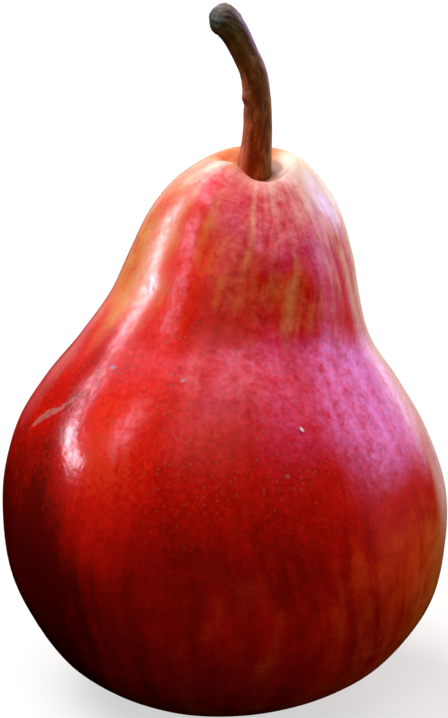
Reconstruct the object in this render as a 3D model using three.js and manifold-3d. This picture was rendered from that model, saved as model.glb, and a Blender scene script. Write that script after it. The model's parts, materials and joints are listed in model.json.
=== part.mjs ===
// A ripe red pear with its stem, standing on the low ring round its calyx.
//
// Millimetres, +Z up. The origin is on the surface that the pear stands on, under the middle
// of the fruit. -Y is the front, where the lip of the crown dips and shows the stem's foot,
// and the stem arches over towards -X.
//
// The fruit is a surface of revolution with the irregularities of a grown thing added by
// formulas: a spine that leans, ribs round the calyx, lobes round the crown. The stem and the
// calyx's dried sepals are sections swept along curves. Each stands in a hole in the flesh.

import * as THREE from 'three';
import { mergeVertices } from 'three/addons/utils/BufferGeometryUtils.js';
import Module from 'manifold-3d';

const { degToRad, lerp, smoothstep } = THREE.MathUtils;

// ---------------------------------------------------------------- driving dimensions

const BELLY_RADIUS = 38;
const CROWN_HEIGHT = 93.4; // the rim round the stem, before its lobes
const NECK_RADIUS = 21.2; // at the waist's upper end

const STEM_RADIUS = 2.3;
const KNOB_RADIUS = 2.6; // the thickened end, where the stem left the twig
const STEM_ROOT = 84; // height of the stem's lower end, inside the flesh

const SEPAL_COUNT = 5;
const SEPAL_WIDTH = 2.8;
const SEPAL_THICKNESS = 0.7;
const CALYX_RADIUS = 2.1; // the short tube that the sepals grow from

const GAP = 0.3; // between pieces that touch

// ---------------------------------------------------------------- the fruit's form

// Half of the lengthwise section, as [distance from the spine, height].
const OUTLINE = [
  // the calyx basin
  [0, 6.5],
  [2.8, 6.1],
  [6.2, 3.4],
  [9.3, 0.6],
  // the low ring that the fruit stands on: below zero here, and pressed flat further down
  [13, -0.7],
  [19.6, 1.6],
  // the belly
  [29.4, 8],
  [35.8, 18],
  [BELLY_RADIUS, 28],
  [37.6, 38],
  [34.7, 47],
  [29.8, 55],
  // the waist and the neck
  [24.7, 62],
  [NECK_RADIUS, 69],
  [18.7, 77],
  [15.7, 85],
  [11.8, CROWN_HEIGHT - 3],
  // the rim and the shallow hollow inside it
  [7.2, CROWN_HEIGHT],
  [5, CROWN_HEIGHT - 0.8],
  [3.4, CROWN_HEIGHT - 2],
  [0, CROWN_HEIGHT - 2.6],
];

// The spine's sideways place, as [x, height]. The neck stands to one side of the belly.
const SPINE = [[-0.4, 0], [0.6, 15], [-0.3, 40], [-0.2, 60], [2.1, 70], [3.1, 80], [3.8, 88], [4.5, 98]];
const NECK_BACK = 2; // how far back of the belly's middle the neck stands
const HOLLOW_OFFSET = 1.2; // how far the stem's hollow is from the middle of the crown

// Lobes of the crown: the side that they face, their half width and how far they lift the rim.
const CROWN_LOBES = [
  { facing: -75, spread: 40, lift: -3.1 }, // the lip dips in front of the stem
  { facing: -122, spread: 20, lift: 0.5 },
  { facing: 214, spread: 30, lift: 0.5 },
  { facing: 180, spread: 40, lift: -0.8 },
  { facing: -20, spread: 40, lift: -0.8 },
  { facing: 95, spread: 52, lift: 0.6 },
];
const WAIST_LIFT = 5; // the waist sits higher on the front
const WAIST_DRAW = 1.6; // and is drawn in there, so the neck stands steeper above it
const CALYX_RIBS = 5;
const SWELL = 0.25; // height of the broad, shallow swellings all over

const profile = new THREE.CatmullRomCurve3(
  OUTLINE.map(([radius, height]) => new THREE.Vector3(radius, 0, height)),
);
const spine = new THREE.CatmullRomCurve3(SPINE.map(([x, height]) => new THREE.Vector3(x, 0, height)));
const spinePoints = spine.getPoints(200);

/** The spine's x at a height, read off the curve between its two nearest points. */
function spineAt(height) {
  const next = spinePoints.findIndex((point, i) => i > 0 && point.z >= height);
  const [low, high] = [spinePoints[Math.max(next, 1) - 1], spinePoints[Math.max(next, 1)]];
  return lerp(low.x, high.x, (height - low.z) / (high.z - low.z));
}

/** A smooth hill round the side that `facing` names: 1 at its middle, 0 well outside. */
function hill(angle, facing, spread) {
  const turn = angle - degToRad(facing);
  const away = Math.atan2(Math.sin(turn), Math.cos(turn));
  return Math.exp(-((away / degToRad(spread)) ** 2));
}

/** The skin's point at an angle round the spine, for one point of the outline. */
function skinPoint(radius, height, angle) {
  const nearCalyx = 1 - smoothstep(height, 8, 34);
  const ribs = 0.01 * Math.cos(CALYX_RIBS * (angle - 0.4)) * nearCalyx;
  const oval = 0.008 * Math.cos(2 * angle + 0.3) * smoothstep(height, 4, 25);
  const threeSided = 0.006 * Math.cos(3 * angle - 0.5) * smoothstep(height, 10, 40);
  const swell =
    SWELL *
    Math.sin(3 * angle + 0.11 * height) *
    Math.sin(0.16 * height + 2 * angle) *
    smoothstep(height, 6, 20) *
    (1 - smoothstep(height, 70, 88));
  const waist = WAIST_DRAW * Math.exp(-(((height - 62) / 9) ** 2)) * hill(angle, -88, 50);
  const reach = radius * (1 + ribs + oval + threeSided) + swell - waist;

  const onCrown = smoothstep(height, 78, 91) * smoothstep(radius, 0, 6);
  let z = height;
  for (const { facing, spread, lift } of CROWN_LOBES) z += onCrown * lift * hill(angle, facing, spread);
  z += WAIST_LIFT * hill(angle, -95, 63) * smoothstep(height, 38, 60) * (1 - smoothstep(height, 66, 84));

  const towardsStem = HOLLOW_OFFSET * (1 - smoothstep(radius, 4.5, 14)) * smoothstep(height, 60, 80);
  const x = spineAt(height) + towardsStem + reach * Math.cos(angle);
  const y = NECK_BACK * smoothstep(height, 40, 85) + reach * Math.sin(angle);
  return new THREE.Vector3(x, y, Math.max(z, 0));
}

// ---------------------------------------------------------------- skinning and joining

/** Skins closed rings of points into one closed body, each end drawn to a point. */
function skinRings(start, rings, end) {
  const sides = rings[0].length;
  const points = [start, ...rings.flat(), end];
  const tip = points.length - 1;
  const at = (ring, side) => 1 + ring * sides + (side % sides);
  const faces = [];
  for (let side = 0; side < sides; side++) {
    faces.push(0, at(0, side + 1), at(0, side));
    for (let ring = 0; ring < rings.length - 1; ring++) {
      faces.push(at(ring, side), at(ring, side + 1), at(ring + 1, side + 1));
      faces.push(at(ring, side), at(ring + 1, side + 1), at(ring + 1, side));
    }
    faces.push(tip, at(rings.length - 1, side), at(rings.length - 1, side + 1));
  }
  return new THREE.BufferGeometry().setFromPoints(points).setIndex(faces);
}

/**
 * Sweeps a section along a curve. `stations` are the places along it, from 0 to 1, and
 * section(t, angle) gives a point's offsets, along `across` and square to it.
 */
function sweep(curve, stations, sides, across, section) {
  const rings = stations.map((t) => {
    const centre = curve.getPoint(t);
    const ahead = curve.getTangent(t);
    const second = across.clone().addScaledVector(ahead, -across.dot(ahead)).normalize();
    const first = new THREE.Vector3().crossVectors(second, ahead);
    return Array.from({ length: sides }, (_, side) => {
      const [u, v] = section(t, (2 * Math.PI * side) / sides);
      return centre.clone().addScaledVector(first, u).addScaledVector(second, v);
    });
  });
  return skinRings(curve.getPoint(stations[0]), rings, curve.getPoint(stations.at(-1)));
}

const wasm = await Module();
wasm.setup();

function toSolid(geometry) {
  const bare = geometry.clone();
  bare.deleteAttribute('normal');
  bare.deleteAttribute('uv');
  const merged = mergeVertices(bare, 1e-4);
  const vertProperties = new Float32Array(merged.attributes.position.array);
  const triVerts = new Uint32Array(merged.index.array);
  return new wasm.Manifold(new wasm.Mesh({ numProp: 3, vertProperties, triVerts }));
}

function toGeometry(solid) {
  const { vertProperties, triVerts } = solid.getMesh();
  const geometry = new THREE.BufferGeometry();
  geometry.setAttribute('position', new THREE.Float32BufferAttribute(vertProperties, 3));
  geometry.setIndex([...triVerts]);
  geometry.computeVertexNormals();
  return geometry;
}

// ---------------------------------------------------------------- the fruit

const FRUIT_SIDES = 56;
const FRUIT_RINGS = 54;

function fruitBody() {
  const outline = profile.getSpacedPoints(FRUIT_RINGS);
  const rings = outline.slice(1, -1).map(({ x: radius, z: height }) =>
    Array.from({ length: FRUIT_SIDES }, (_, side) =>
      skinPoint(radius, height, (2 * Math.PI * side) / FRUIT_SIDES),
    ),
  );
  const pole = ({ z: height }) => skinPoint(0, height, 0);
  return skinRings(pole(outline[0]), rings, pole(outline.at(-1)));
}

// ---------------------------------------------------------------- the stem

// The stem's middle line with its radius there, as [x, y, height, radius].
const STEM_LINE = [
  [5.2, 2, STEM_ROOT, 2.6],
  [5.1, 2, 88.5, 2.9],
  [5.1, 2, 91.5, 2.95],
  [5.5, 2.1, 95, 2.62],
  [5.7, 2.3, 98.5, 2.4],
  [5.6, 2.5, 103, STEM_RADIUS],
  [5, 2.6, 107.5, 2.2],
  [3.5, 2.5, 111, 2.2],
  [2, 2.2, 114, 2.35],
  [0, 1.8, 116.5, KNOB_RADIUS],
  [-1.8, 1.4, 118.1, 2.3],
];
const STEM_SIDES = 18;
const STEM_RIDGES = 5;
const FREE_STEM = 0.28; // the part of the line past which the stem stands free of the flesh
const DOME = 0.9; // the part of the line past which the end rounds over

const stemLine = new THREE.CatmullRomCurve3(STEM_LINE.map(([x, y, z]) => new THREE.Vector3(x, y, z)));
const stemGirth = new THREE.CatmullRomCurve3(
  STEM_LINE.map(([, , height, radius]) => new THREE.Vector3(radius, 0, height)),
);

function stemBody(stations, extra = 0) {
  return sweep(stemLine, stations, STEM_SIDES, new THREE.Vector3(0, 1, 0), (t, angle) => {
    const beyond = Math.max(0, (t - DOME) / (1 - DOME));
    const dome = Math.sqrt(Math.max(1 - beyond ** 2, 0.02));
    const ridge = 0.05 * Math.cos(STEM_RIDGES * angle + 4 * t) * smoothstep(t, FREE_STEM, 0.45);
    const radius = stemGirth.getPoint(t).x * dome * (1 + ridge) + extra;
    return [radius * Math.cos(angle), radius * Math.sin(angle)];
  });
}

const steps = (from, to, count) => Array.from({ length: count + 1 }, (_, i) => lerp(from, to, i / count));

const STEM_STATIONS = [...steps(0, DOME, 22), ...steps(DOME, 1, 5).slice(1)];

// ---------------------------------------------------------------- the calyx

const CALYX_TOP = 8.5; // the tube's inner end, in the flesh
const CALYX_MOUTH = 4.4;

function calyxTube() {
  const wall = [
    [0, CALYX_MOUTH + 0.9],
    [1.2, CALYX_MOUTH + 0.5],
    [1.5, CALYX_MOUTH - 0.2],
    [CALYX_RADIUS, CALYX_MOUTH],
    [CALYX_RADIUS, CALYX_TOP],
    [0, CALYX_TOP],
  ];
  return new THREE.LatheGeometry(wall.map(([x, y]) => new THREE.Vector2(x, y)), 20).rotateX(Math.PI / 2);
}

/** One dried sepal: out of the tube, down along the basin, its tip curling back up. */
function sepal(turn, length, curl) {
  const outward = (radius, height) =>
    new THREE.Vector3(radius * Math.cos(turn), radius * Math.sin(turn), height);
  const line = new THREE.CatmullRomCurve3([
    outward(0.8, CALYX_MOUTH + 0.9),
    outward(2, CALYX_MOUTH - 0.4),
    outward(0.6 * length + 0.6, CALYX_MOUTH - 1.7),
    outward(length, 1.4 + curl),
    outward(length + 0.9, 1.5 + 2 * curl),
  ]);
  const across = new THREE.Vector3(-Math.sin(turn), Math.cos(turn), 0);
  return sweep(line, steps(0, 1, 9), 8, across, (t, angle) => {
    const taper = lerp(1, 0.25, smoothstep(t, 0.2, 1));
    return [
      (SEPAL_THICKNESS / 2) * Math.cos(angle),
      (SEPAL_WIDTH / 2) * taper * Math.sin(angle),
    ];
  });
}

function calyxBody(middle) {
  let solid = toSolid(calyxTube());
  for (let i = 0; i < SEPAL_COUNT; i++) {
    const turn = ((i + 0.1 * Math.sin(5 * i)) / SEPAL_COUNT) * 2 * Math.PI;
    const length = 5 + 0.5 * Math.cos(3 * i);
    solid = solid.add(toSolid(sepal(turn, length, 0.25 * Math.sin(2 * i))));
  }
  return solid.translate(middle);
}

function calyxHole(middle) {
  const radius = CALYX_RADIUS + GAP;
  const hole = new THREE.CylinderGeometry(radius, radius, CALYX_TOP + GAP, 20);
  hole.rotateX(Math.PI / 2).translate(0, 0, (CALYX_TOP + GAP) / 2);
  return toSolid(hole).translate(middle);
}

// ---------------------------------------------------------------- the pear

function piece(name, geometry, color, roughness) {
  const material = new THREE.MeshStandardMaterial({ color, roughness, metalness: 0 });
  const mesh = new THREE.Mesh(geometry, material);
  mesh.name = name;
  return mesh;
}

const calyxMiddle = [spineAt(OUTLINE[0][1]), 0, 0];
const rootHole = toSolid(stemBody(steps(0, 0.4, 10), GAP)).translate([0, 0, -GAP]);
const flesh = toSolid(fruitBody()).subtract(rootHole).subtract(calyxHole(calyxMiddle));

const fruit = piece('fruit', toGeometry(flesh), '#a81c14', 0.32);
const stem = piece('stem', stemBody(STEM_STATIONS), '#5d3018', 0.6);
const calyx = piece('calyx', toGeometry(calyxBody(calyxMiddle)), '#3a2a1c', 0.85);

const pear = new THREE.Group();
pear.add(fruit, stem, calyx);

// The middle of the fruit, seen from above, goes over the origin.
const middle = new THREE.Box3().setFromObject(fruit).getCenter(new THREE.Vector3());
pear.position.set(-middle.x, -middle.y, 0);

export default pear;
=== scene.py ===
# %% [markdown]
# # A ripe red pear
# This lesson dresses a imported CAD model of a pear: the fruit, its woody stem, and the dried calyx
# underneath. The CAD model fixes the size and the place of each piece. Here each piece gets a
# finer mesh of the same form, and a material that is grown rather than painted: a blush that the
# sun put on a yellow skin, streaks that follow the fruit's growth, breathing pores and a wax film.

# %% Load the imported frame
import json
import math

import bpy
import numpy as np
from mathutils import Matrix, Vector, noise

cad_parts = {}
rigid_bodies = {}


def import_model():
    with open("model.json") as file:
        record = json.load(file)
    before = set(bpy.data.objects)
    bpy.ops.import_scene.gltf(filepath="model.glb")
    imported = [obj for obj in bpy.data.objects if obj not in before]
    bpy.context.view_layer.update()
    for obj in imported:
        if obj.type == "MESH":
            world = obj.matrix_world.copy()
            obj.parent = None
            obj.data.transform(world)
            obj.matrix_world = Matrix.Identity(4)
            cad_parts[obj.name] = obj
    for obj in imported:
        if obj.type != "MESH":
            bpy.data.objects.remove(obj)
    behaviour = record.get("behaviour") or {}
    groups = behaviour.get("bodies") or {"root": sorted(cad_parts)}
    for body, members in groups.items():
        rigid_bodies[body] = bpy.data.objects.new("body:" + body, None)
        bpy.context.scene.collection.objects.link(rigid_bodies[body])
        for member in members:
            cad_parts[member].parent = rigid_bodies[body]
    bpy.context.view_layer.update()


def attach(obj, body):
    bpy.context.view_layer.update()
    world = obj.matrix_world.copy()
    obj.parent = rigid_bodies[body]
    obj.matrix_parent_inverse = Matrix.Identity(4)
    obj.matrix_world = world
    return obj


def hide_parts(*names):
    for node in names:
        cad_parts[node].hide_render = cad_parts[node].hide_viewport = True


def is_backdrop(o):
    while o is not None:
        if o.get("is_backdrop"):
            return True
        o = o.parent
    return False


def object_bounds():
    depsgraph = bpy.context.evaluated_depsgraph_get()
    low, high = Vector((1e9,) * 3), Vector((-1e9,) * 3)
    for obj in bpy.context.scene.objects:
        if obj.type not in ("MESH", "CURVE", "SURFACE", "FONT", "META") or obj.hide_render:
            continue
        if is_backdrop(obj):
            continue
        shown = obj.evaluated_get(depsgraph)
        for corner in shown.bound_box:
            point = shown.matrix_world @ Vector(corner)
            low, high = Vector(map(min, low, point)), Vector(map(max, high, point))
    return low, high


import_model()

MM = 0.001

# %% [markdown]
# ## Smooth lines
# Nothing on a pear is straight. Its outline, its spine and its stem can each be told by a few
# measured points with a smooth line through them. Such a line could be drawn by hand as a Bezier
# curve. Here a formula draws it, so one number can be changed and the whole form follows. A
# centripetal Catmull-Rom curve is the right one: it never overshoots between two points that lie
# close together, as the points on the rim of the stem's hollow do.

# %% A smooth line through points
def smooth_line(points, steps):
    """Points of a centripetal Catmull-Rom curve, with `steps` of them to a span."""
    known = [np.array(p, float) for p in points]
    known = [2 * known[0] - known[1], *known, 2 * known[-1] - known[-2]]
    line = []
    for a, b, c, d in zip(known, known[1:], known[2:], known[3:]):
        # the pace along each span is the square root of its length
        gaps = [max(np.linalg.norm(q - p) ** 0.5, 1e-4) for p, q in ((a, b), (b, c), (c, d))]
        leave = ((b - a) / gaps[0] - (c - a) / (gaps[0] + gaps[1]) + (c - b) / gaps[1]) * gaps[1]
        arrive = ((c - b) / gaps[1] - (d - b) / (gaps[1] + gaps[2]) + (d - c) / gaps[2]) * gaps[1]
        for t in np.arange(steps) / steps:
            line.append(b + leave * t + (3 * (c - b) - 2 * leave - arrive) * t**2
                        + (2 * (b - c) + leave + arrive) * t**3)
    return np.array([*line, known[-2]])


print("a line through 3 points:", smooth_line([(0, 0), (1, 1), (2, 0)], 2).round(2).tolist())

# %% [markdown]
# ## Soft steps and soft hills
# Nothing on a grown thing starts or stops at a line: a lobe swells and dies away, and a blush
# fades. Soft masks could be painted on the mesh by hand. Formulas do it here, because they give
# the same result each time, and serve for shapes and colours alike. One is a step that eases from
# 0 to 1. The other is a hill on one side of the fruit. Sides are told in degrees round it: 0 is
# the right, -90 the front, 90 the back, and 180 the left.

# %% Steps and hills
def ease(value, low, high):
    """0 below low, 1 above high, and a smooth step between them."""
    t = np.clip((np.asarray(value, float) - low) / (high - low), 0, 1)
    return t * t * (3 - 2 * t)


def hill(angle, facing, spread):
    """A smooth hill on the side that `facing` names, in degrees: 1 on top, 0 well outside."""
    away = np.angle(np.exp(1j * (angle - math.radians(facing))))
    return np.exp(-((away / math.radians(spread)) ** 2))


def hills(angle, rows):
    """The sum of several hills, each told by the side it faces, its spread and its height."""
    return sum(tall * hill(angle, facing, spread) for facing, spread, tall in rows)


print(f"a quarter up a step: {ease(2.5, 0, 10):.2f}; one spread from a top: {hill(0, 30, 30):.2f}")

# %% [markdown]
# ## The fruit's form
# A pear is nearly a turned form, grown a little out of true: its neck leans, its foot has five
# faint ribs, and its crown has lobes round the stem. It could be sculpted, or spun with a Screw
# modifier and then pushed about. Here one function turns a half outline round a leaning spine and
# adds the lobes as it goes, so the skin can be as fine as it needs to be, and a mark can be put
# at a known place on it. All numbers are millimetres on the real fruit. Height 0 is the table.
# The outline starts inside the calyx basin, goes round the belly and over the crown, and ends in
# the narrow socket that the stem stands in.

# %% The outline and the spine
# distance from the spine, height
OUTLINE = [
    (0, 8.6), (1.9, 8.4), (2.1, 7.2), (2.3, 6.5), (2.8, 6.1), (6.2, 3.4), (9.3, 0.6),
    (13, -0.7), (19.6, 1.6), (29.4, 8), (35.8, 18), (38, 28), (37.6, 38), (34.7, 47),
    (29.8, 55), (24.7, 62), (21.2, 69), (18.7, 77), (15.7, 85), (11.8, 90.4), (7.2, 93.4),
    (5, 92.6), (3.4, 91.4), (2.8, 90.7), (2.7, 88), (2.6, 85), (0, 84.6),
]
# how far the spine leans to the right, height
SPINE = [(-0.4, 0), (0.6, 15), (-0.3, 40), (-0.2, 60), (2.1, 70), (3.1, 80), (3.8, 88), (4.5, 98)]
LINE_STEPS = 24

spine = smooth_line(SPINE, LINE_STEPS)
outline = smooth_line(OUTLINE, LINE_STEPS)
walked = np.concatenate([[0], np.cumsum(np.linalg.norm(np.diff(outline, axis=0), axis=1))])
print(f"outline: {walked[-1]:.1f} mm from the calyx to the stem's socket")

# %% [markdown]
# No pear is round. Its foot has a rib over each of the five seed chambers, the belly is a little
# oval and three-sided, the waist is drawn in on the front, and the crown's lobes stand unevenly
# round the stem. A lattice or a sculpting brush could do all that. In a formula each of them is
# one line with a size of its own, which makes it easy to keep the form inside the CAD model's box.

# %% The lobes and the waist
# the crown's lobes: the side they face, their spread, and how far they lift the skin
CROWN_LOBES = [
    (-75, 40, -3.3), (-75, 17, 0.45), (-122, 20, 0.5), (214, 30, 0.5), (180, 40, -0.8),
    (-20, 40, -0.8), (95, 52, 0.6),
]
WAIST_LIFT = 5  # how much higher the waist lies on the front
WAIST_DRAW = 1.6  # how far it is drawn in there, so the neck stands steeper
STEM_SIDE = 1.2  # how far the hollow leans towards the stem
NECK_BACK = 2  # how far the neck leans back


def pear_skin(radius, height, angle):
    """Where the skin is, for a point of the outline turned to an angle round the spine."""
    # out of round: ribs at the foot, a little oval and three-sided above, and slow swellings
    ribs = 0.01 * np.cos(5 * (angle - 0.4)) * (1 - ease(height, 8, 34))
    oval = 0.008 * np.cos(2 * angle + 0.3) * ease(height, 4, 25)
    three_sided = 0.006 * np.cos(3 * angle - 0.5) * ease(height, 10, 40)
    swell = 0.25 * np.sin(3 * angle + 0.11 * height) * np.sin(0.16 * height + 2 * angle)
    swell = swell * ease(height, 6, 20) * (1 - ease(height, 70, 88))
    reach = radius * (1 + ribs + oval + three_sided) + swell
    reach = reach - WAIST_DRAW * np.exp(-(((height - 62) / 9) ** 2)) * hill(angle, -88, 50)

    lobes = hills(angle, CROWN_LOBES) * ease(height, 78, 91) * ease(radius, 0, 6)
    waist = WAIST_LIFT * hill(angle, -95, 63) * ease(height, 38, 60) * (1 - ease(height, 66, 84))
    z = np.maximum(height + lobes + waist, 0)

    to_stem = STEM_SIDE * (1 - ease(radius, 4.5, 14)) * ease(height, 60, 80)
    x = np.interp(height, spine[:, 1], spine[:, 0]) + to_stem + reach * np.cos(angle)
    y = NECK_BACK * ease(height, 40, 85) + reach * np.sin(angle)
    return np.stack([x, y, z], axis=-1)


print("the belly's front in mm:", pear_skin(38.0, 28.0, -math.pi / 2).round(1))

# %% [markdown]
# ## The skin, ring by ring
# A mesh is only as good as the places of its points. Evenly spread rings would waste points on
# the belly and cut the corners of the crown, so the rings lie closer together where the form
# turns quickly: round the calyx and over the crown.

# %% The skin as rings of points
SIDES, RINGS = 480, 196
tightness = 1 + 1.2 * (1 - ease(walked, 10, 24)) + 1.3 * ease(walked, 105, 122)
share = np.concatenate([[0], np.cumsum((tightness[1:] + tightness[:-1]) / 2 * np.diff(walked))])
stops = np.interp(np.linspace(0, share[-1], RINGS), share, walked)
ring_radius = np.interp(stops, walked, outline[:, 0])
ring_height = np.interp(stops, walked, outline[:, 1])

angle = np.linspace(0, 2 * math.pi, SIDES, endpoint=False)[None, :] * np.ones((RINGS, 1))
radius = ring_radius[:, None] * np.ones((1, SIDES))
height = ring_height[:, None] * np.ones((1, SIDES))
skin = pear_skin(radius, height, angle)
print(f"rings: {np.diff(stops).min():.2f} to {np.diff(stops).max():.2f} mm apart")

# %% [markdown]
# A grown skin is never as fair as a formula. Slow waves, 9 and 3.5 mm long and at most a tenth of
# a millimetre high, break up the edges of its highlights, and one shallow ridge runs down the
# right shoulder. A bump in the material could fake them. They are real geometry here, because
# gloss shows every wave in a highlight's edge, and the mesh keeps them when it is exported.

# %% Waves and a ridge
WAVES = [(9, 0.12), (3.5, 0.022)]  # length and greatest height
RIDGE_HEIGHT = 0.13

along = np.gradient(skin, axis=0)
round_it = np.roll(skin, -1, axis=1) - np.roll(skin, 1, axis=1)
outward = np.cross(round_it, along)
outward /= np.maximum(np.linalg.norm(outward, axis=-1, keepdims=True), 1e-9)

waves = np.array([
    sum(tall * noise.noise(Vector(p) / long) for long, tall in WAVES)
    for p in skin.reshape(-1, 3)
]).reshape(RINGS, SIDES)
ridge = hill(angle, -20, 5) - 0.8 * hill(angle, -11, 5)
waves = waves + RIDGE_HEIGHT * ridge * ease(height, 30, 42) * (1 - ease(height, 48, 58))
# none on the ring that the pear stands on, nor in the stem's socket
waves = waves * ease(height, 1.5, 6) * ease(radius, 3.5, 7)
skin = skin + outward * waves[..., None]
skin[..., 2] = np.maximum(skin[..., 2], 0)
print(f"waves: {waves.min():.2f} to {waves.max():.2f} mm")

# %% The fruit's place
# the CAD model stands with its middle over the origin, and so does the skin
middle = (skin.reshape(-1, 3).min(0) + skin.reshape(-1, 3).max(0)) / 2
AXIS_SHIFT = np.array([-middle[0], -middle[1], 0])
skin = skin + AXIS_SHIFT
print("fruit in mm:", np.round(skin.reshape(-1, 3).max(0) - skin.reshape(-1, 3).min(0), 2))

# %% [markdown]
# ## From rings to bodies
# Rings of points become a mesh when each point is joined to its neighbours by four-sided faces. A
# Skin or a Screw modifier could do that too, but then the points couldn't be placed one by one.
# One function serves the fruit, the stem and the calyx, so all of them are closed bodies with no
# stray faces. It also says which CAD piece the new body stands for.

# %% Skin rings into a body
def body_from_rings(name, rings, node):
    """A smooth closed mesh over rings of points, given in mm, that stands for a CAD node."""
    count, sides = rings.shape[:2]
    points = np.concatenate([rings.reshape(-1, 3), rings[0].mean(0)[None], rings[-1].mean(0)[None]])
    start, end = count * sides, count * sides + 1
    k = np.arange(sides)
    after = (k + 1) % sides
    quads = [np.stack([r * sides + k, r * sides + after, (r + 1) * sides + after,
                       (r + 1) * sides + k], 1) for r in range(count - 1)]
    faces = np.concatenate(quads).tolist()
    faces += [(start, b, a) for a, b in zip(k.tolist(), after.tolist())]
    last = (count - 1) * sides
    faces += [(end, last + a, last + b) for a, b in zip(k.tolist(), after.tolist())]
    mesh = bpy.data.meshes.new(name)
    mesh.from_pydata((points * MM).tolist(), [], faces)
    mesh.polygons.foreach_set("use_smooth", [True] * len(mesh.polygons))
    mesh.update()
    made = bpy.data.objects.new(name, mesh)
    bpy.context.scene.collection.objects.link(made)
    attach(made, "root")
    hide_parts(node)
    print(f"{name}: {len(mesh.polygons)} faces")
    return made


fruit = body_from_rings("pear_skin", skin, "fruit")

# %% [markdown]
# ## What the skin remembers
# A material can only know where a point is. More can be told to it as attributes: values kept on
# the mesh's points. They could be painted by hand, or come from a picture wrapped round the
# fruit. Formulas are used because they have no seams and no resolution. The first thing kept is
# the meridian that a point lies on, with its distance along it, because every streak on a pear
# follows the way that it grew, from the calyx to the stem.

# %% Meridians, kept on the points
def store(piece, name, values, kind="FLOAT"):
    """Keeps one value, or one vector, on every point of a piece."""
    spot = piece.data.attributes.new(name, kind, "POINT")
    field = "vector" if kind == "FLOAT_VECTOR" else "value"
    spot.data.foreach_set(field, np.asarray(values, np.float32).ravel())


def with_ends(grid):
    """The grid's values, then those of the two points that close its ends."""
    flat = grid.reshape(-1, grid.shape[-1]) if grid.ndim == 3 else grid.ravel()
    return np.concatenate([flat, grid[0].mean(0)[None] if grid.ndim == 3 else [grid[0].mean()],
                           grid[-1].mean(0)[None] if grid.ndim == 3 else [grid[-1].mean()]])


# a streak sways a little as it climbs, in radians
sway = 0.03 * np.sin(0.09 * height + 2 * angle) + 0.02 * np.sin(0.21 * height + 5 * angle)
meridian = np.stack([np.cos(angle + sway), np.sin(angle + sway),
                     stops[:, None] * MM * np.ones((1, SIDES))], axis=-1)
store(fruit, "meridian", with_ends(meridian), "FLOAT_VECTOR")
print(f"the streaks sway by up to {math.degrees(sway.max()):.1f} degrees")

# %% [markdown]
# ## Where the sun made it red
# A ripe pear is yellow, and sunlight turns its skin red. This one hung with its front and its
# left to the sun, so the red covers those sides and thins out round the right, and it breaks up
# into orange and cream towards the crown. A noise texture alone would redden it evenly all over.
# So the amount of red is laid out side by side and height by height, in soft patches, and the
# border between belly and neck runs in tongues.

# %% How far the red covers the ground colour
def patch(facing, spread, rise=None, fall=None):
    """A soft patch on one side, which fades in over the heights of `rise` and out over `fall`."""
    shape = hill(angle, facing, spread)
    if rise:
        shape = shape * ease(height, *rise)
    if fall:
        shape = shape * (1 - ease(height, *fall))
    return shape


tongues = 2.2 * np.sin(5 * angle + 1) + 1.6 * np.sin(11 * angle) + 1.2 * np.sin(19 * angle + 2)
on_neck, on_crown = ease(height + tongues, 57, 71), ease(height + tongues, 80, 90)
low_half, foot = 1 - ease(height, 30, 46), 1 - ease(height, 0, 14)

# all of it is covered from 1, and half of it at 0.5
blush = 1.15 + hills(angle, [(30, 45, -0.75), (110, 50, -0.45)]) - 0.22 * low_half - 0.15 * foot
blush += low_half * hills(angle, [(-10, 35, -0.2), (-160, 40, 0.3)])
blush += 0.3 * patch(-98, 24, (34, 44), (54, 60))
# the neck has less on the right, the back and the left, and the crown least of all; the pale
# strip at -144 on the neck's left is partly a painted highlight
neck = 0.84 + hills(angle, [(20, 50, -0.6), (-144, 18, -0.3), (178, 30, -0.42), (110, 45, -0.35)])
neck -= 0.16 * patch(-62, 20, fall=(70, 78))
# least red on the crown's right, where its pale skin is partly a painted highlight
crown = hills(angle, [(-8, 44, -0.5), (140, 55, -0.1), (-155, 30, 0.28), (-110, 18, 0.14),
                      (-50, 20, 0.08), (-130, 22, -0.12)])
neck += on_crown * (crown - 0.03)
# the lip in front of the stem is paler still
lip = on_crown * (1 - ease(radius, 6, 13)) * hill(angle, -100, 60)
blush = blush + (neck - 0.3 * lip - blush) * on_neck
print(f"blush: {blush.min():.2f} to {blush.max():.2f}")

# %% [markdown]
# Sun also draws out narrow streaks, each along its own meridian, where the skin was stretched as
# it grew. The broad run of them can be left to a texture, but the few that catch the eye on the
# neck are set one by one. Some are redder than the skin round them, and some are yellow.

# %% The streaks that stand out on the neck
# facing, width, lower and upper height, how much blush each adds or takes
NECK_STREAKS = [
    (-122, 4, 74, 90, 0.50), (-118, 7, 62, 74, 0.20), (-113, 3.2, 77, 91, -0.24),
    (-88, 2.2, 78, 92, -0.30), (-98, 2.5, 62, 76, -0.12), (-64, 9, 80, 91, 0.12),
    (-48, 3, 62, 76, 0.04), (-40, 2.5, 64, 77, -0.08), (-44, 2, 62, 76, 0.30),
    (-31, 4, 62, 78, 0.35), (-55, 4, 70, 80, 0.20), (-58, 5, 61, 74, 0.20),
]
for facing, width, low, high, change in NECK_STREAKS:
    fade = 0.25 * (high - low)
    shown = ease(height, low - fade, low + fade) * (1 - ease(height, high - fade, high + fade))
    blush += change * hill(angle + sway, facing, width) * shown
store(fruit, "blush", with_ends(blush))
print(len(NECK_STREAKS), "streaks on the neck")

# %% [markdown]
# ## How deep the red is
# The red of a pear is a pigment in clear cells: the more layers of them have it, the deeper it
# looks. One red shade made lighter and darker would look like paint in shadow. So depth is kept
# as a value of its own, which a colour ramp will turn into scarlet at 0, crimson at a half and
# maroon at 1. The foot and the left side are deepest: partly pigment, and partly painted shade
# where the fruit turns away from the lamps.

# %% How deep the red is
# deeper towards the foot: partly pigment, partly painted shade under the belly
depth = 0.68 - 0.45 * ease(height, 34, 54)
depth += on_neck * hills(angle, [(-70, 40, 0.12), (-140, 28, -0.25), (175, 28, -0.3)])
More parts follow.
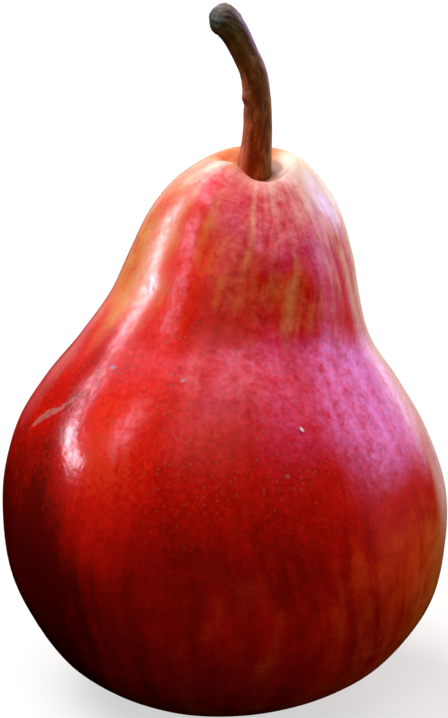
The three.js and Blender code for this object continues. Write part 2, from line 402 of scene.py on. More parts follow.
# maroon low on the left and over its shoulder: deep pigment, and painted shade on that side
depth += 0.43 * patch(-153, 24, fall=(43, 58)) + 0.15 * patch(-156, 22, (50, 55), (60, 68))
depth += 0.12 * patch(-139, 12, (20, 30), (38, 46)) + 0.2 * patch(-140, 14, (46, 52), (64, 70))
# two scarlet tongues beside it: lighter pigment, and partly a painted glow of light
depth -= 0.12 * patch(-118, 9, (20, 36), (48, 56)) + 0.35 * patch(-127, 11, (26, 36), (50, 60))
# thinner red on the right, and at the foot of the front
depth -= 0.2 * patch(-32, 26, (22, 32), (44, 54)) + 0.2 * patch(-8, 30, fall=(30, 46))
depth -= 0.12 * patch(-78, 25, fall=(22, 32))
store(fruit, "depth", with_ends(depth))
print(f"depth of the red: {depth.min():.2f} to {depth.max():.2f}")

# %% [markdown]
# ## The ground under the red
# Where the red is thin, the ground colour of the unripe cells shows through it: golden where the
# skin ripened, cream round the stem on the right, and still a little green at the shaded back.
# The cream on the crown's right is partly a painted highlight.
# Two values tell how golden and how shaded each point is.

# %% The ground under the red
paling = ease(height + 2 * tongues, 46, 74)
golden = 1 - (0.35 * paling + 0.5 * on_crown) * hill(angle, -25, 70)
# cream on the neck's left, at -140, is partly a painted highlight
golden += on_neck * hills(angle, [(-140, 15, -0.25), (180, 25, -0.1)])
# cream on the crown's right, partly a painted highlight, and paler still on the lip
golden -= 0.85 * on_crown * hill(angle, -12, 48) + 0.6 * lip
store(fruit, "golden", with_ends(np.clip(golden, 0, 1)))
store(fruit, "shaded", with_ends(hill(angle, 88, 38)))
print(f"golden: {golden.min():.2f} to {golden.max():.2f}")

# %% [markdown]
# ## Where each pattern shows
# Fine streaks, mottling, pores and lengthwise bands are patterns that a texture can make, but on
# a real pear each has its own place: streaks on the half-shaded neck, mottling on the neck and
# the back, pores on the shoulder, and bands low on the belly. So four strengths are kept too.

# %% Where each pattern shows
streaky = (0.3 + 0.7 * patch(-22, 34, rise=(54, 64))) * (1 - 0.7 * on_crown)
uneven = np.maximum(0.6 + 0.4 * ease(height, 44, 60), 0.95 * hill(angle, 100, 60))
porous = 0.15 + 0.85 * ease(height, 34, 54) * (1 - 0.7 * ease(height, 60, 70))
porous *= 1 - 0.6 * patch(-155, 30, fall=(44, 56))
for name, strength in {"streaky": streaky, "uneven": uneven, "porous": porous,
                       "banded": low_half}.items():
    store(fruit, name, with_ends(strength))
    print(f"{name}: {strength.min():.2f} to {strength.max():.2f}")

# %% [markdown]
# ## The wax
# A pear's gloss is its wax. Where leaves or hands rubbed the fruit the film is thick and
# polished, and the sheen is strong. Where it kept its powdery bloom the sheen is weak. One value
# for the whole skin would look like lacquer, so the film's thickness is kept as well, with 1 as
# the usual one.

# %% How thick the wax is
thick_wax = 1 + 4.2 * on_neck * hill(angle, -152, 26) + 0.5 * on_crown * hill(angle, -20, 24)
thick_wax -= 0.82 * patch(-8, 48, rise=(66, 76)) * (1 - 0.6 * on_crown)
thick_wax += 1.2 * patch(0, 20, (50, 55), (57, 62)) + 0.6 * patch(2, 18, (63, 67), (72, 78))
thick_wax += 0.8 * patch(178, 18, (38, 46), (56, 62)) - 0.5 * patch(-114, 15, (62, 66), (80, 86))
store(fruit, "thick_wax", with_ends(thick_wax))
print(f"wax: {thick_wax.min():.2f} to {thick_wax.max():.2f} of the usual thickness")

# %% [markdown]
# ## Marks left by the tree
# A twig rubbed the left shoulder and left a corky line, and both ends of the fruit wear russet:
# a rough brown skin that grows where the fine one cracked. The rub could be a decal. Here the
# distance to its line is kept instead, so that the material can give it a ragged edge, its own
# colour and a duller gloss. A few specks follow later, in the material, by the same way of
# finding a place on the skin.

# %% A twig's rub and the russet
def on_skin(facing, height):
    """The point of the skin at a facing in degrees and a height on the outline."""
    low, top = ring_height.argmin(), ring_height.argmax()
    radius = np.interp(height, ring_height[low:top], ring_radius[low:top])
    return pear_skin(radius, height, math.radians(facing)) + AXIS_SHIFT


# the rub's line: facing, height, and half its width there
RUB = [
    (-162, 48.7, 0.15), (-155.8, 51.1, 0.75), (-148, 52.9, 0.45), (-141, 55.2, 0.35),
    (-138, 56.4, 0.1),
]
rub_line = smooth_line([(*on_skin(facing, up), half) for facing, up, half in RUB], 20)
# 1 on its edge, less inside it
off_the_rub = np.min([np.linalg.norm(skin - spot[:3], axis=-1) / spot[3] for spot in rub_line],
                     axis=0)
store(fruit, "off_the_rub", with_ends(off_the_rub))

russet = (1 - ease(radius, 3, 5.2)) * ease(height, 84, 90)
russet = russet + (1 - ease(radius, 3, 8)) * (1 - ease(height, 6, 9))
russet += 0.5 * hill(angle, 10, 50) * (1 - ease(radius, 4, 7.5)) * on_crown
store(fruit, "russet", with_ends(russet))
print(f"the rub is {np.linalg.norm(rub_line[-1, :3] - rub_line[0, :3]):.1f} mm long")

# %% [markdown]
# ## Nodes in a few words
# A material is a tree of nodes. They can be wired by hand in the Shader Editor, and reading this
# lesson beside that editor is a good exercise. In a script, one function that adds a node, sets
# it and links it keeps each line close to what it means. Colours are named as the sRGB hex values
# of a paint program, and shaders work in linear light, so another function turns them round.

# %% Helpers for materials
def linear(hex_colour):
    """An sRGB hex colour as linear RGBA."""
    parts = [int(hex_colour[i:i + 2], 16) / 255 for i in (1, 3, 5)]
    return (*[p / 12.92 if p <= 0.04045 else ((p + 0.055) / 1.055) ** 2.4 for p in parts], 1)


def add(tree, kind, inputs=None, **settings):
    """Adds a node, sets it, feeds its inputs with values or sockets, and returns its output."""
    node = tree.nodes.new("ShaderNode" + kind)
    for name, value in settings.items():
        setattr(node, name, value)
    for name, value in (inputs or {}).items():
        shown_inputs = [s for s in node.inputs if s.enabled]
        socket = shown_inputs[name] if isinstance(name, int) else next(
            s for s in shown_inputs if s.name == name)
        if isinstance(value, bpy.types.NodeSocket):
            tree.links.new(value, socket)
        else:
            socket.default_value = value
    return next((s for s in node.outputs if s.enabled), None)


def new_material(name):
    """An empty material and its node tree."""
    material = bpy.data.materials.new(name)
    material.use_nodes = True
    material.node_tree.nodes.clear()
    return material, material.node_tree


def paint_ramp(ramp_socket, stops_and_colours):
    """Sets the stops of the Color Ramp that a socket belongs to."""
    elements = ramp_socket.node.color_ramp.elements
    while len(elements) < len(stops_and_colours):
        elements.new(1)
    for element, (place, hex_colour) in zip(elements, stops_and_colours):
        element.position, element.color = place, linear(hex_colour)


print("middle grey in linear light:", round(linear("#808080")[0], 3))

# %% [markdown]
# ## Pear skin: living wax over coloured cells
# The real one is a pear's skin: a clear wax film, a few hundredths of a millimetre thick, over
# cells whose colour runs from straw yellow in the shade to maroon in the sun. To the eye it is a
# deep, slightly uneven colour under a smooth gloss. A picture of a skin would fit one fruit from
# one side. Noise textures with the real sizes of its streaks and spots fit it from all sides.

# %% Pear skin: its natural patterns
waxed_skin, tree = new_material("waxed_pear_skin")
place = tree.nodes.new("ShaderNodeTexCoord").outputs["Object"]
meridian_at = add(tree, "Attribute", attribute_name="meridian").node.outputs["Vector"]
told = {name: add(tree, "Attribute", attribute_name=name).node.outputs["Fac"] for name in (
    "blush", "depth", "golden", "shaded", "streaky", "uneven", "banded", "porous",
    "off_the_rub", "russet", "thick_wax")}

# How many cells of noise go to a radian round the fruit, given for both directions across it,
# and how many to a metre along it. A broad streak is 3 mm wide on the neck, 18 mm from the
# spine, and 20 mm long. The finest are 1.3 mm wide and 17 mm long.
BROAD_STREAKS, FINE_STREAKS = (6, 6, 50), (14, 14, 60)
# the belly's bands are 3 mm wide, 38 mm from the spine, and 40 mm long
BELLY_BANDS = (13, 13, 25)
MOTTLE = 4  # the mottling is 4 mm across
GRAIN = 0.9  # the grain of the cells, coarsened from 0.1 mm to show

broad = add(tree, "TexNoise", {
    "Vector": add(tree, "VectorMath", {0: meridian_at, 1: BROAD_STREAKS}, operation="MULTIPLY"),
    "Scale": 1, "Detail": 2, "Roughness": 0.55})
fine = add(tree, "TexNoise", {
    "Vector": add(tree, "VectorMath", {0: meridian_at, 1: FINE_STREAKS}, operation="MULTIPLY"),
    "Scale": 1, "Detail": 1, "Roughness": 0.5})
bands = add(tree, "TexNoise", {
    "Vector": add(tree, "VectorMath", {0: meridian_at, 1: BELLY_BANDS}, operation="MULTIPLY"),
    "Scale": 1, "Detail": 3, "Roughness": 0.5})
mottle = add(tree, "TexNoise", {
    "Vector": place, "Scale": 1 / (MOTTLE * MM), "Detail": 3, "Roughness": 0.6})
grain = add(tree, "TexNoise", {
    "Vector": place, "Scale": 1 / (GRAIN * MM), "Detail": 2, "Roughness": 0.6})
print(len(told), "values from the mesh, and 5 patterns")

# %% [markdown]
# ## Where red ends and gold begins
# On the fruit the border between red and gold is never a clean line: streaks and mottles carry
# each colour into the other. A soft mask alone would look airbrushed. So the patterns push the
# kept values up and down before a smooth step decides how much of the ground is covered.

# %% Pear skin: the broken edge of the blush
def vary(tree, value, pattern, amount):
    """A value pushed up and down by a pattern that runs from 0 to 1."""
    swing = add(tree, "Math", {0: pattern, 1: -0.5}, operation="ADD")
    return add(tree, "Math", {0: swing, 1: amount, 2: value}, operation="MULTIPLY_ADD")


def kept_where(tree, pattern, where):
    """A pattern that runs from 0 to 1, flattened to its middle where the second value is 0."""
    swing = add(tree, "Math", {0: pattern, 1: -0.5}, operation="ADD")
    return add(tree, "Math", {0: swing, 1: where, 2: 0.5}, operation="MULTIPLY_ADD")


fine_streaks = kept_where(tree, fine, told["streaky"])
low_bands = kept_where(tree, bands, told["banded"])
swings = vary(tree, vary(tree, 0, broad, 0.5), fine_streaks, 1.2)
swings = vary(tree, vary(tree, swings, mottle, 0.6), grain, 0.15)
swings = vary(tree, swings, low_bands, 0.6)
redness = add(tree, "Math", {0: swings, 1: told["uneven"], 2: told["blush"]},
              operation="MULTIPLY_ADD")
cover = add(tree, "MapRange", {"Value": redness, "From Min": 0.05, "From Max": 0.95},
            interpolation_type="SMOOTHSTEP")

# the red's depth varies too, with less grain in it where the bands are
half_grain = add(tree, "Math", {0: told["banded"], 1: -0.5, 2: 1.0}, operation="MULTIPLY_ADD")
deepness = vary(tree, vary(tree, told["depth"], bands, 0.4), low_bands, 0.2)
deepness = vary(tree, deepness, mottle, 0.45)
deepness = vary(tree, deepness, kept_where(tree, grain, half_grain), 0.6)
print(len(tree.nodes), "nodes so far")

# %% [markdown]
# ## The skin's colours
# Two colour ramps hold all the hues: the ground of the unripe cells, from cream through gold to
# amber, and the red pigment over it, from scarlet to maroon. Mixing them by the cover keeps every
# orange between them natural, as it is where a thin red layer lies over yellow cells.

# %% Pear skin: the ground and the pigment
ground = add(tree, "ValToRGB", {
    "Fac": vary(tree, vary(tree, told["golden"], mottle, 0.5), bands, -0.5)})
paint_ramp(ground, [(0.0, "#f7d6c2"), (0.5, "#f0b582"), (0.85, "#e8983f"), (1.0, "#d87a26")])
pigment = add(tree, "ValToRGB", {"Fac": deepness})
paint_ramp(pigment, [(0.0, "#ea3418"), (0.25, "#dc1a0a"), (0.5, "#be1004"), (0.75, "#900c02"),
                     (1.0, "#600501")])
# on the shaded side some green is left under the gold
greenish = add(tree, "MapRange", {"Value": vary(tree, told["shaded"], mottle, 1.2),
                                  "From Min": 0.1, "From Max": 1.3})
ground = add(tree, "Mix", {"Factor": greenish, "A": ground, "B": linear("#b99a3a")},
             data_type="RGBA")
skin_colour = add(tree, "Mix", {"Factor": cover, "A": ground, "B": pigment}, data_type="RGBA")
print(len(tree.nodes), "nodes so far")

# %% [markdown]
# ## Pores
# Lenticels are the pores that a pear breathes through: corky dots, under half a millimetre across
# and a little over one apart, each in a ring of darker cells, with a few larger ones among them.
# Tiny discs of mesh could make them, a few thousand of them. A Voronoi texture is lighter, and
# its cell centres are spread in the same uneven way.

# %% Pear skin: pores
def overlap(tree, one, other):
    """How strongly two patterns lie on each other: their product."""
    return add(tree, "Math", {0: one, 1: other}, operation="MULTIPLY")


def within(tree, distance, radius, blur):
    """1 nearer than a radius, 0 further off, with a soft edge."""
    return add(tree, "MapRange", {"Value": distance, "From Min": radius + blur,
                                  "From Max": radius - blur}, interpolation_type="SMOOTHSTEP")


def dots(tree, spacing, *radii):
    """Scattered dots, each with its own strength: one pattern for each radius. Sizes in mm."""
    distance = add(tree, "TexVoronoi", {
        "Vector": place, "Scale": 1 / (spacing * MM), "Randomness": 0.95})
    chance = add(tree, "SeparateXYZ", {0: distance.node.outputs["Color"]})
    return [overlap(tree, within(tree, distance, r / spacing, 0.8 * r / spacing), chance)
            for r in radii]


def tint(tree, colour, hex_colour, where, strength):
    """The colour, mixed with a second one where a pattern is 1."""
    return add(tree, "Mix", {"Factor": overlap(tree, where, strength), "A": colour,
                             "B": linear(hex_colour)}, data_type="RGBA")


# how far apart they are, then the radius of the pore and of its ring
pore, ring = dots(tree, 1.05, 0.21, 0.36)
large_pore, large_ring = dots(tree, 5.5, 0.26, 0.5)
for spots, hex_colour, strength in ((ring, "#540804", 0.3), (pore, "#b8704e", 0.45),
                                    (large_ring, "#6a2014", 0.3), (large_pore, "#a07864", 0.35)):
    here = overlap(tree, spots, told["porous"])
    skin_colour = tint(tree, skin_colour, hex_colour, here, strength)
print(len(tree.nodes), "nodes so far")

# %% [markdown]
# ## Russet, the rub and specks
# Russet is cork, a dull brown, and so is the scar of the rub. Both get a ragged edge from the
# same mottling and grain that the skin has. The specks are small scars and dried drops, and one
# is a painted shadow beside a nick, each one an oval at its own place, turned its own way. Each
# could be a piece of mesh, but they are flat.

# %% Pear skin: russet and the rub
ragged = add(tree, "Math", {0: mottle, 1: -0.5}, operation="ADD")
ragged = add(tree, "Math", {0: ragged, 1: 1.4, 2: told["russet"]}, operation="MULTIPLY_ADD")
corky = add(tree, "MapRange", {"Value": ragged, "From Min": 0.35, "From Max": 0.9})
skin_colour = tint(tree, skin_colour, "#9a5a38", corky, 0.7)
rubbed = within(tree, vary(tree, told["off_the_rub"], grain, 1.6), 1.0, 0.35)
skin_colour = tint(tree, skin_colour, "#9a604c", rubbed, 0.6)
print(len(tree.nodes), "nodes so far")

# %% Pear skin: specks
# facing, height, half length and half width in mm, lean in degrees, colour, strength
SPECKS = [
    # the first is a painted shadow beside the nick, the second the nick's pale flesh
    (-65.9, 51.6, 0.5, 0.28, -60, "#6a1018", 0.6), (-65.2, 51.9, 0.46, 0.24, -60, "#f4e8e4", 0.9),
    (-132.5, 59.0, 0.65, 0.38, 0, "#8f8c9c", 0.65), (-103, 57.4, 0.45, 0.3, 20, "#9c8c90", 0.55),
    (-39.5, 51.9, 0.4, 0.3, 0, "#b08890", 0.5), (-38.8, 48.1, 0.5, 0.3, 40, "#a88080", 0.45),
    (-71.8, 46.7, 0.4, 0.3, 0, "#a87870", 0.45), (42, 55, 0.6, 0.35, 30, "#94807c", 0.6),
    (98, 44, 0.5, 0.4, -20, "#8a6a58", 0.6), (152, 62, 0.5, 0.3, 60, "#a08878", 0.55),
]
for facing, up, long, wide, lean, hex_colour, strength in SPECKS:
    right = on_skin(facing + 1, up) - on_skin(facing - 1, up)
    above = on_skin(facing, up + 0.5) - on_skin(facing, up - 0.5)
    right, above = right / np.linalg.norm(right), above / np.linalg.norm(above)
    lean = math.radians(lean)
    axis = Vector(right * math.cos(lean) + above * math.sin(lean))
    local = add(tree, "Mapping", {"Vector": place, "Location": Vector(on_skin(facing, up)) * MM,
                                  "Rotation": axis.to_track_quat("X", "Z").to_euler(),
                                  "Scale": (long * MM, wide * MM, wide * MM)},
                vector_type="TEXTURE")
    off = add(tree, "VectorMath", {0: local}, operation="LENGTH")
    skin_colour = tint(tree, skin_colour, hex_colour, within(tree, off, 1.0, 0.4), strength)
print(len(SPECKS), "specks")

# %% [markdown]
# ## Gloss and relief
# Under a lens the skin is finely pebbled, with a dip round each pore, and the rub is sunk a
# little. These lie far below a tenth of a millimetre, so a bump serves better than mesh. The wax
# has an IOR near 1.45 and is polished, so its roughness is low, 0.09 to 0.17, and it changes from
# place to place with the bloom: the powder that dulls a pear until it is rubbed off. Cork is dull.

# %% Pear skin: relief
pebbles = add(tree, "TexNoise", {
    "Vector": place, "Scale": 1 / (1.0 * MM), "Detail": 2, "Roughness": 0.55})
dents = add(tree, "TexNoise", {
    "Vector": place, "Scale": 1 / (5 * MM), "Detail": 2, "Roughness": 0.5})
bumps = add(tree, "Math", {0: pebbles, 1: overlap(tree, ring, 0.25)}, operation="SUBTRACT")
bumps = add(tree, "Math", {0: rubbed, 1: -0.6, 2: bumps}, operation="MULTIPLY_ADD")
bumps = add(tree, "Math", {0: dents, 1: 2.5, 2: bumps}, operation="MULTIPLY_ADD")
bumped = add(tree, "Bump", {"Height": bumps, "Strength": 1.0, "Distance": 0.022 * MM})
print(len(tree.nodes), "nodes so far")

# %% Pear skin: gloss
bloom = add(tree, "TexNoise", {
    "Vector": place, "Scale": 1 / (2 * MM), "Detail": 4, "Roughness": 0.75})
bloom = vary(tree, vary(tree, bloom, grain, 0.35), bands, 0.45)
dulled = add(tree, "MapRange", {"Value": bloom, "From Min": 0.3, "From Max": 0.7,
                                "To Min": 0.09, "To Max": 0.17})
rough_spots = add(tree, "Math", {0: corky, 1: rubbed}, operation="MAXIMUM")
dulled = add(tree, "Math", {0: rough_spots, 1: 0.3, 2: dulled}, operation="MULTIPLY_ADD")
dulled = vary(tree, dulled, told["uneven"], 0.08)
wax_swing = add(tree, "Math", {0: told["thick_wax"], 1: -0.5}, operation="ADD")
dulled = vary(tree, dulled, wax_swing, 0.032)
# the sheen is weaker under bloom and on the pores, and stronger where the wax is thick
waxed = add(tree, "MapRange", {"Value": bloom, "From Min": 0.3, "From Max": 0.7,
                               "To Min": 0.85, "To Max": 0.18})
matt_pores = add(tree, "Math", {0: overlap(tree, pore, told["porous"]), 1: -0.5, 2: 1.0},
                 operation="MULTIPLY_ADD")
waxed = overlap(tree, overlap(tree, waxed, matt_pores), told["thick_wax"])
shader = add(tree, "BsdfPrincipled", {
    "Base Color": skin_colour, "Roughness": dulled, "Normal": bumped, "IOR": 1.45,
    "Specular IOR Level": waxed})
add(tree, "OutputMaterial", {"Surface": shader})
fruit.data.materials.append(waxed_skin)
print("waxed_pear_skin:", len(tree.nodes), "nodes")

# %% [markdown]
# ## The stem
# The stem is a woody stalk, about 5 mm thick, that the fruit's weight has bent. It left its twig
# at the knob. Drying has drawn it into lengthwise ridges and puckered its bark, and a bud that
# dropped off has left a scar half way up. A curve with a bevel would give a plain tube. Here it
# is swept: rings of points stand square to a curve through its middle, and formulas move each
# point in or out.

# %% The stem's middle line
# x, y, height and radius
STEM_LINE = [
    (5.2, 2, 84, 2.6), (5.1, 2, 88.5, 2.9), (5.1, 2, 91.5, 2.95), (5.5, 2.1, 95, 2.62),
    (5.7, 2.3, 98.5, 2.4), (5.6, 2.5, 103, 2.3), (5, 2.6, 107.5, 2.2), (3.5, 2.5, 111, 2.2),
    (2, 2.2, 114, 2.35), (0, 1.8, 116.5, 2.6), (-1.8, 1.4, 118.1, 2.3),
]
DOME_FROM, DOME_LONG = 0.9, 0.1  # the knob's rounded end, as shares of the length
LONG_RINGS, DOME_RINGS, STEM_SIDES = 180, 30, 144

stalk = smooth_line(STEM_LINE, LINE_STEPS)
# the rings crowd together where the knob rounds off
crowding = np.sin(np.linspace(0.02, 1, DOME_RINGS) * math.pi / 2)
keep = np.concatenate([np.linspace(0, DOME_FROM, LONG_RINGS), DOME_FROM + DOME_LONG * crowding])
spans = np.linspace(0, 1, len(stalk))
stalk = np.stack([np.interp(keep, spans, stalk[:, column]) for column in range(4)], axis=1)

steps_along = np.linalg.norm(np.diff(stalk[:, :3], axis=0), axis=1)
length = np.concatenate([[0], np.cumsum(steps_along)])
print(f"stem: {length[-1]:.1f} mm along its middle")

# %% [markdown]
# A ring needs two directions square to the line that it stands on. One is kept pointing to the
# back, as nearly as it can, and the other is square to both, so the rings never twist, as they
# may along a curve object that bends in space. The ridges are then waves in each ring's radius.

# %% The stem's rings
heading = np.gradient(stalk[:, :3], axis=0)
heading /= np.linalg.norm(heading, axis=1, keepdims=True)
second = np.array([0, 1, 0]) - heading * heading[:, 1:2]
second /= np.linalg.norm(second, axis=1, keepdims=True)
first = np.cross(second, heading)

turn = np.linspace(0, 2 * math.pi, STEM_SIDES, endpoint=False)[None, :] * np.ones((len(keep), 1))
t = keep[:, None] * np.ones((1, STEM_SIDES))
# five ridges and eleven fine ones, which twist a little on their way up
ridges = 0.035 * np.cos(5 * turn + 4 * t) * ease(t, 0.28, 0.45)
fine_ridges = 0.008 * np.cos(11 * turn - 6 * t + 1.5 * np.sin(9 * t)) * ease(t, 0.2, 0.4)
past_dome = np.maximum((t - DOME_FROM) / DOME_LONG, 0)
dome = np.sqrt(np.maximum(1 - past_dome ** 2, 0.0))
girth = stalk[:, 3:4] * (0.02 + 0.98 * dome) * (1 + ridges + fine_ridges)
out_of_stem = first[:, None] * np.cos(turn)[..., None] + second[:, None] * np.sin(turn)[..., None]
stem_rings = stalk[:, None, :3] + out_of_stem * girth[..., None] + AXIS_SHIFT
print(f"stem: {2 * girth[LONG_RINGS // 2].min():.1f} to {2 * girth.max():.1f} mm thick")

# %% [markdown]
# Dry bark puckers, most of all at the knob, where the stem parted from its twig. The puckers and
# the bud's scar show in the stem's outline, where a bump in a material would stay flat, so they
# are moved points too.

# %% Bark puckers and the bud's scar
PUCKERS = [(1.5, 0.22), (0.6, 0.14)]  # length and greatest height
BUD_AT, SCAR_AT, BUD_FACING = 103.5, 102.2, -160
pucker = np.array([
    sum(tall * noise.noise(Vector(p) / long) for long, tall in PUCKERS)
    for p in stem_rings.reshape(-1, 3)
]).reshape(t.shape) * (0.16 + 0.84 * ease(t, 0.78, 0.92))
bud = 0.2 * np.exp(-((stalk[:, 2:3] - BUD_AT) / 0.8) ** 2)
bud = bud - 0.24 * np.exp(-((stalk[:, 2:3] - SCAR_AT) / 0.6) ** 2)
pucker = (pucker + bud * hill(turn, BUD_FACING, 24)) * ease(t, 0.2, 0.3)
stem_rings = stem_rings + out_of_stem * pucker[..., None]
stem = body_from_rings("pear_stem", stem_rings, "stem")
print(f"puckers: {pucker.min():.2f} to {pucker.max():.2f} mm")

# %% [markdown]
# As on the fruit, the mesh remembers what its material will need: which way the fibres run, how
# far up the stem a point lies, and three sides of the bark: an olive front right, and a rosy left
# and a gilt right edge that are partly painted light over the bark's own tones.

# %% What the stem remembers
fibre = np.stack([np.cos(turn), np.sin(turn),
                  length[:, None] * MM * np.ones((1, STEM_SIDES))], axis=-1)
store(stem, "fibre", with_ends(fibre), "FLOAT_VECTOR")
# the rosy left and the gilt right edge are partly painted light over the bark's tones
stem_values = {
    "along_stem": t,
    "ruddy_lit_left": hill(turn, -160, 26) * (1 - ease(t, 0.55, 0.8)),
    "olive": hill(turn, -45, 26) * (1 - ease(t, 0.6, 0.9)),
    "gilt_rim_light": hill(turn, -8, 22) * ease(t, 0.05, 0.15) * (1 - ease(t, 0.4, 0.75)),
}
for name, values in stem_values.items():
    store(stem, name, with_ends(values))
    print(f"{name}: up to {values.max():.2f}")

# %% [markdown]
# ## Stem bark: a browned, leathery rind
# The real one was green when it grew and has browned: red-brown at the root, ruddy on the left,
# olive on the front right, gilt at the right edge, and grey-green at the knob. The rosy left is
# partly painted light where the lamps fall on it, and the gilt edge partly a painted rim of light.
# It gives the eye a dull satin with blurred lengthwise furrows and a scatter of pale specks, and
# the knob is a little shinier, worn smooth. A wood texture with rings would be wrong, because bark
# isn't cut wood: noise that is drawn out along the stem gives the furrows, and round noise the
# leather.
# Dry rind keeps the usual IOR of 1.5, and its roughness is 0.28 to 0.45, less than bare wood's.

# %% Stem bark: patterns
stem_bark, tree = new_material("browned_stem_bark")
place = tree.nodes.new("ShaderNodeTexCoord").outputs["Object"]
fibre_at = add(tree, "Attribute", attribute_name="fibre").node.outputs["Vector"]
told = {name: add(tree, "Attribute", attribute_name=name).node.outputs["Fac"]
        for name in stem_values}
# furrows 1 mm wide on a stalk of 2.4 mm radius, and 4 mm long
FURROWS = (2.4, 2.4, 250)
LEATHER = 1.6  # the leathery grain is 1.6 mm across

furrow = add(tree, "TexNoise", {
    "Vector": add(tree, "VectorMath", {0: fibre_at, 1: FURROWS}, operation="MULTIPLY"),
    "Scale": 1, "Detail": 3, "Roughness": 0.6})
leather = add(tree, "TexNoise", {
    "Vector": place, "Scale": 1 / (LEATHER * MM), "Detail": 4, "Roughness": 0.65})
speck = dots(tree, 0.75, 0.1)[0]
print(len(tree.nodes), "nodes so far")

# %% Stem bark: colour
bark_colour = add(tree, "ValToRGB", {"Fac": vary(tree, told["along_stem"], leather, 0.25)})
paint_ramp(bark_colour, [(0.15, "#8e2a03"), (0.35, "#7e2a04"), (0.55, "#6c3204"),
                         (0.75, "#5c3c0a"), (0.90, "#424020"), (1.0, "#4a5450")])
# the bark's tones by side; the rosy left and the gilt right edge are partly painted light
for side, hex_colour, raggedness, strength in (("ruddy_lit_left", "#c0664a", 0.8, 0.9),
                                               ("olive", "#5a4010", 0.8, 0.7),
                                               ("gilt_rim_light", "#b47c24", 0.6, 0.8)):
    here = vary(tree, told[side], furrow, raggedness)
    bark_colour = tint(tree, bark_colour, hex_colour, here, strength)
shading = add(tree, "MapRange", {"Value": vary(tree, furrow, leather, 0.8), "From Min": 0.3,
                                 "From Max": 0.7, "To Min": 0.62, "To Max": 1.24})
bark_colour = add(tree, "VectorMath", {0: bark_colour, "Scale": shading}, operation="SCALE")
bark_colour = tint(tree, bark_colour, "#b88c60", speck, 0.6)
print(len(tree.nodes), "nodes so far")

# %% Stem bark: relief and gloss
bumps = vary(tree, vary(tree, leather, furrow, 1.2), speck, 0.4)
bumped = add(tree, "Bump", {"Height": bumps, "Strength": 1.0, "Distance": 0.22 * MM})
satin = add(tree, "MapRange", {"Value": leather, "From Min": 0.3, "From Max": 0.7,
                               "To Min": 0.28, "To Max": 0.45})
polish = add(tree, "MapRange", {"Value": told["along_stem"], "From Min": 0.45,
                                "From Max": 0.85, "To Min": 0.08, "To Max": 0.32})
shader = add(tree, "BsdfPrincipled", {
    "Base Color": bark_colour, "Roughness": satin, "Normal": bumped,
    "Specular IOR Level": polish})
add(tree, "OutputMaterial", {"Surface": shader})
stem.data.materials.append(stem_bark)
print("browned_stem_bark:", len(tree.nodes), "nodes")

# %% [markdown]
# ## The calyx
# Opposite the stem is what is left of the blossom: five dried sepals in a star, and inside them
# the withered stamens. They grow out of a short tube that is sunk in the flesh. Flat faces with a
# leaf's outline would look like paper from the side, so each is a thin closed blade, swept along
# its own line, pointed at its tip and arched across. The stamens are the same blade made narrow.

# %% A thin blade along a line
CALYX_HEIGHT = 6.5
calyx_middle = np.array([np.interp(CALYX_HEIGHT, spine[:, 1], spine[:, 0]), 0, 0]) + AXIS_SHIFT


def swept_blade(points, wide, thick, taper, sides=16, steps=10):
    """Rings for a thin blade along a line of points. `wide` and `thick` are its half sizes, and
    `taper` is how much of them is left at its tip."""
    line = smooth_line(points, steps)
    ahead = np.gradient(line, axis=0)
    ahead /= np.linalg.norm(ahead, axis=1, keepdims=True)
    side = np.cross(ahead, line[0] * [1, 1, 0] + [1e-6, 0, 0])
    side = np.where(np.linalg.norm(side, axis=1, keepdims=True) < 1e-4, [0, 1, 0], side)
    side /= np.linalg.norm(side, axis=1, keepdims=True)
    face = np.cross(side, ahead)
    along = np.linspace(0, 1, len(line))[:, None]
    size = taper + (1 - taper) * np.sqrt(1 - along) * (1 - ease(along, 0.25, 1.15))
    around = np.linspace(0, 2 * math.pi, sides, endpoint=False)[None, :]
    across, deep = wide * size * np.cos(around), thick * (0.3 + 0.7 * size) * np.sin(around)
    arched = deep + 0.8 * thick * size * np.abs(np.cos(around))
    return line[:, None] + side[:, None] * across[..., None] + face[:, None] * arched[..., None]


print("the calyx is round", calyx_middle.round(2).tolist())

# %% The sepals
for i in range(5):
    facing = (i + 0.1 * math.sin(5 * i)) / 5 * 2 * math.pi
    reach, curl = 5 + 0.5 * math.cos(3 * i), 0.25 * math.sin(2 * i)
    # out from the tube, down the basin and along it: distance from the middle, height
    line = [(0.8, 5.3), (2, 4.0), (0.6 * reach + 0.6, 2.7), (reach, 1.6 + curl),
            (reach + 0.8, 1.2 + 2 * curl)]
    points = [(r * math.cos(facing), r * math.sin(facing), z) for r, z in line]
    rings = swept_blade(points, wide=1.5, thick=0.2, taper=0.05) + calyx_middle
    body_from_rings(f"sepal_{i + 1}", rings, "calyx")

# %% The withered stamens
for i in range(11):
    facing, far, lean = 2.4 * i, 0.35 + 0.1 * i, 0.5 * math.sin(3 * i)
    # each stands round the middle, bends its own way and hangs to its own height
    line = [(far, facing, 5.5), (far, facing + lean, 4.4),
            (1.1 * far, facing + 2 * lean, 3.5 - 0.1 * (i % 4))]
    points = [(r * math.cos(a), r * math.sin(a), z) for r, a, z in line]
    rings = swept_blade(points, wide=0.13, thick=0.09, taper=0.5, sides=10, steps=5)
    rings = rings + calyx_middle
    body_from_rings(f"stamen_{i + 1}", rings, "calyx")

# %% The tube they grow from
CUP_LINE = [(0, 5.4), (1.2, 5.0), (1.6, 4.2), (2.15, 4.3), (2.2, 5.2), (2.15, 8.4), (0, 8.5)]
cup_line = smooth_line(CUP_LINE, 5)
cup_turn = np.linspace(0, 2 * math.pi, 48, endpoint=False)[None, :]
cup = np.stack([cup_line[:, :1] * np.cos(cup_turn), cup_line[:, :1] * np.sin(cup_turn),
                cup_line[:, 1:] * np.ones_like(cup_turn)], axis=-1)
body_from_rings("calyx_cup", cup + calyx_middle, "calyx")

